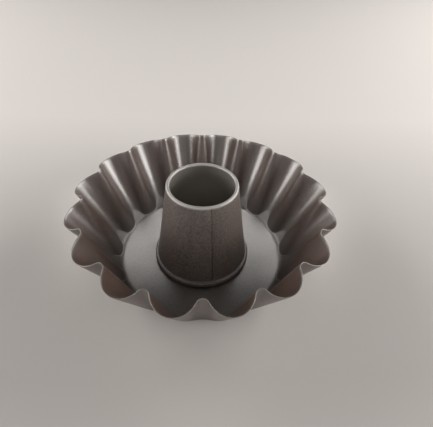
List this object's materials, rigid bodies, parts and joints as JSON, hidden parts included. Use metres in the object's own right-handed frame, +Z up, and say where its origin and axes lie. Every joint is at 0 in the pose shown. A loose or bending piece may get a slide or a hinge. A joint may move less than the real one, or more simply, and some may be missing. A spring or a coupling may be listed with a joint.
{
  "type": "fluted tube pan",
  "caption": "Round baking pan with a flared, deeply fluted wall, a wavy cut rim, a flat floor and a tapered open centre tube held by a folded seam.",
  "frame": {"origin": "centre of the pan's underside, on its axis, at the level it stands on", "axes": "+Z up along the pan's axis; a ridge of the flutes lies on -Y, the front"},
  "size_m": [0.216, 0.216, 0.0805],
  "materials": {
    "shell_coating": "satin non-stick coat, fine speckle",
    "tube_coating": "satin non-stick coat, fine speckle"
  },
  "bodies": {
    "root": {"fluted_shell": "shell_coating", "centre_tube": "tube_coating"}
  },
  "joints": []
}
